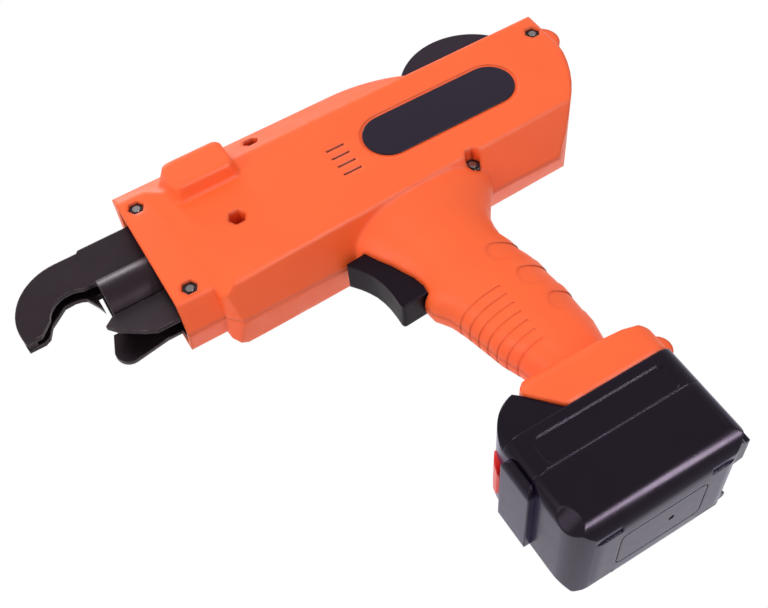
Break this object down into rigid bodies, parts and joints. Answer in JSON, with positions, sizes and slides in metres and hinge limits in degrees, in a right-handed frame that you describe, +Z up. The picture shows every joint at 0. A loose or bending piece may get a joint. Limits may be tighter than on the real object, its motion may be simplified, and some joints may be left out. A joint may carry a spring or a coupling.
{
  "type": "cordless rebar tying tool",
  "caption": "Pistol-grip cordless tool with a curling jaw that loops and twists tying wire round crossed rebar, fed from a top reel, with a slide-on battery foot",
  "frame": {"origin": "middle of the battery's base, where the tool stands", "axes": "+X to the jaw, +Y to the tool's left side, +Z up"},
  "size_m": [0.319, 0.0642, 0.273],
  "materials": {
    "orange_shell": "moulded, fine grain",
    "bolt_steel": "blackened",
    "plate": "bare",
    "blued_steel": "blued sheet, worn edges",
    "bright_steel": "ground",
    "frame_alloy": "cast and milled",
    "motor_can": "drawn can",
    "reel_plastic": "moulded",
    "tie_wire": "annealed",
    "black_plastic": "moulded",
    "board": "lacquered laminate",
    "battery_black": "polished mould",
    "release_red": "polished mould",
    "cell_wrap": "shrink wrap"
  },
  "bodies": {
    "housing_body": {"left_casing": "orange_shell", "right_casing": "orange_shell", "casing_bolts": "bolt_steel", "casing_nuts": "bolt_steel", "frame_screws": "bolt_steel", "name_plate": "plate", "left_cheek": "blued_steel", "right_cheek": "blued_steel", "curl_guide": "blued_steel", "left_lower_guide": "blued_steel", "right_lower_guide": "blued_steel", "jaw_spacer": "bright_steel", "pinch_axle": "bright_steel", "wire_tube": "bright_steel", "reel_shaft": "bright_steel", "trigger_spring": "bright_steel", "inner_frame": "frame_alloy", "twist_motor": "motor_can", "gearbox": "motor_can", "feed_motor": "motor_can", "trigger_switch": "black_plastic", "terminal_block": "black_plastic", "control_board": "board"},
    "twister": {"twist_shaft": "bright_steel", "twist_head": "bright_steel"},
    "drive_roller_body": {"drive_roller": "bright_steel"},
    "pinch_roller_body": {"pinch_roller": "bright_steel"},
    "reel_body": {"reel": "reel_plastic", "wire_core": "tie_wire", "wire_winding": "tie_wire"},
    "latch_body": {"reel_latch": "orange_shell"},
    "trigger_body": {"trigger": "black_plastic"},
    "battery_body": {"battery_lower_case": "battery_black", "battery_upper_case": "battery_black", "battery_front_panel": "battery_black", "button_spring": "bright_steel", "battery_cells": "cell_wrap", "contact_board": "board", "battery_screws": "bolt_steel"},
    "button_body": {"release_button": "release_red"}
  },
  "joints": [
    {"name": "trigger_pull", "type": "slide", "parent": "housing_body", "child": "trigger_body", "axis": [-1, 0, 0], "range_m": [0, 0.006], "stiffness_N_per_m": 800, "springref_m": -0.003, "deforming": ["trigger_spring"]},
    {"name": "battery_slide", "type": "slide", "parent": "housing_body", "child": "battery_body", "axis": [1, 0, 0], "range_m": [0, 0.055]},
    {"name": "release_button_press", "type": "slide", "parent": "battery_body", "child": "button_body", "axis": [-1, 0, 0], "range_m": [0, 0.003], "stiffness_N_per_m": 500, "springref_m": -0.003, "deforming": ["button_spring"]},
    {"name": "reel_spin", "type": "hinge", "parent": "housing_body", "child": "reel_body", "pos_m": [-0.066, 0, 0.2365], "axis": [0, 1, 0], "continuous": true},
    {"name": "drive_roller_spin", "type": "hinge", "parent": "housing_body", "child": "drive_roller_body", "pos_m": [0.0785, 0, 0.2537], "axis": [0, 1, 0], "continuous": true},
    {"name": "pinch_roller_spin", "type": "hinge", "parent": "housing_body", "child": "pinch_roller_body", "pos_m": [0.0785, 0, 0.2413], "axis": [0, 1, 0], "continuous": true},
    {"name": "twister_spin", "type": "hinge", "parent": "housing_body", "child": "twister", "pos_m": [0.1, 0, 0.226], "axis": [1, 0, 0], "continuous": true},
    {"name": "reel_latch_turn", "type": "hinge", "parent": "housing_body", "child": "latch_body", "pos_m": [-0.1085, 0, 0.243], "axis": [0, -1, 0], "range_deg": [0, 20], "stiffness_Nm_per_rad": 0.05, "springref_deg": -11.46}
  ],
  "couplings": [
    {"joint": "pinch_roller_spin", "follows": "drive_roller_spin", "ratio": -1}
  ]
}
